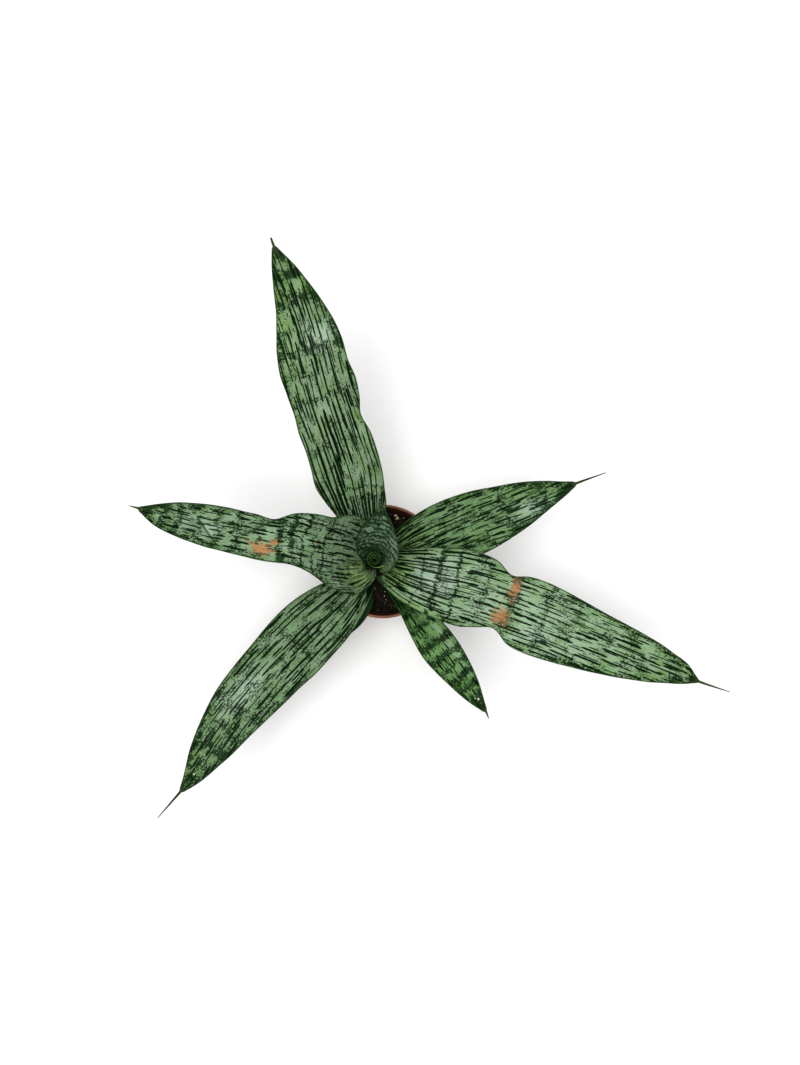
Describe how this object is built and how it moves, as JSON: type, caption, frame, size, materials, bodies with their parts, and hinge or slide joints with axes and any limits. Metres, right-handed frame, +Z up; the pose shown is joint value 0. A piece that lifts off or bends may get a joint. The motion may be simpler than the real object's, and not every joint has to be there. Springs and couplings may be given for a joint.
{
  "type": "potted snake plant",
  "caption": "Snake plant rosette of broad waved mottled leaves with pointed awns, growing from soil in a round tapered nursery pot with a stepped collar.",
  "frame": {"origin": "centre of the pot's foot, on the surface that the pot stands on", "axes": "+Z up along the pot's axis; -Y is the bottom of the picture and +X its right"},
  "size_m": [0.4952, 0.4583, 0.2061],
  "materials": {
    "pot_plastic": "matt terracotta-coloured plastic",
    "potting_mix": "damp bark and peat with perlite",
    "rootstock": "matt fleshy rootstock",
    "leaf_centre": "satin waxy leaf, dark green bands",
    "leaf_west": "satin waxy leaf, silvery green with dark marks",
    "leaf_east": "satin waxy leaf, silvery green with dark marks",
    "leaf_north": "satin waxy leaf, silvery green with dark marks",
    "leaf_upper": "satin waxy leaf, mid green with dark marks",
    "leaf_southwest": "satin waxy leaf, grey green with dark marks",
    "leaf_south": "satin waxy leaf, dark green with pale blotches",
    "leaf_under": "satin waxy leaf, plain dark green"
  },
  "bodies": {
    "root": {"pot": "pot_plastic", "soil": "potting_mix", "crown": "rootstock", "leaf_centre": "leaf_centre", "leaf_west": "leaf_west", "leaf_east": "leaf_east", "leaf_north": "leaf_north", "leaf_upper": "leaf_upper", "leaf_southwest": "leaf_southwest", "leaf_south": "leaf_south", "leaf_under": "leaf_under"}
  },
  "joints": []
}
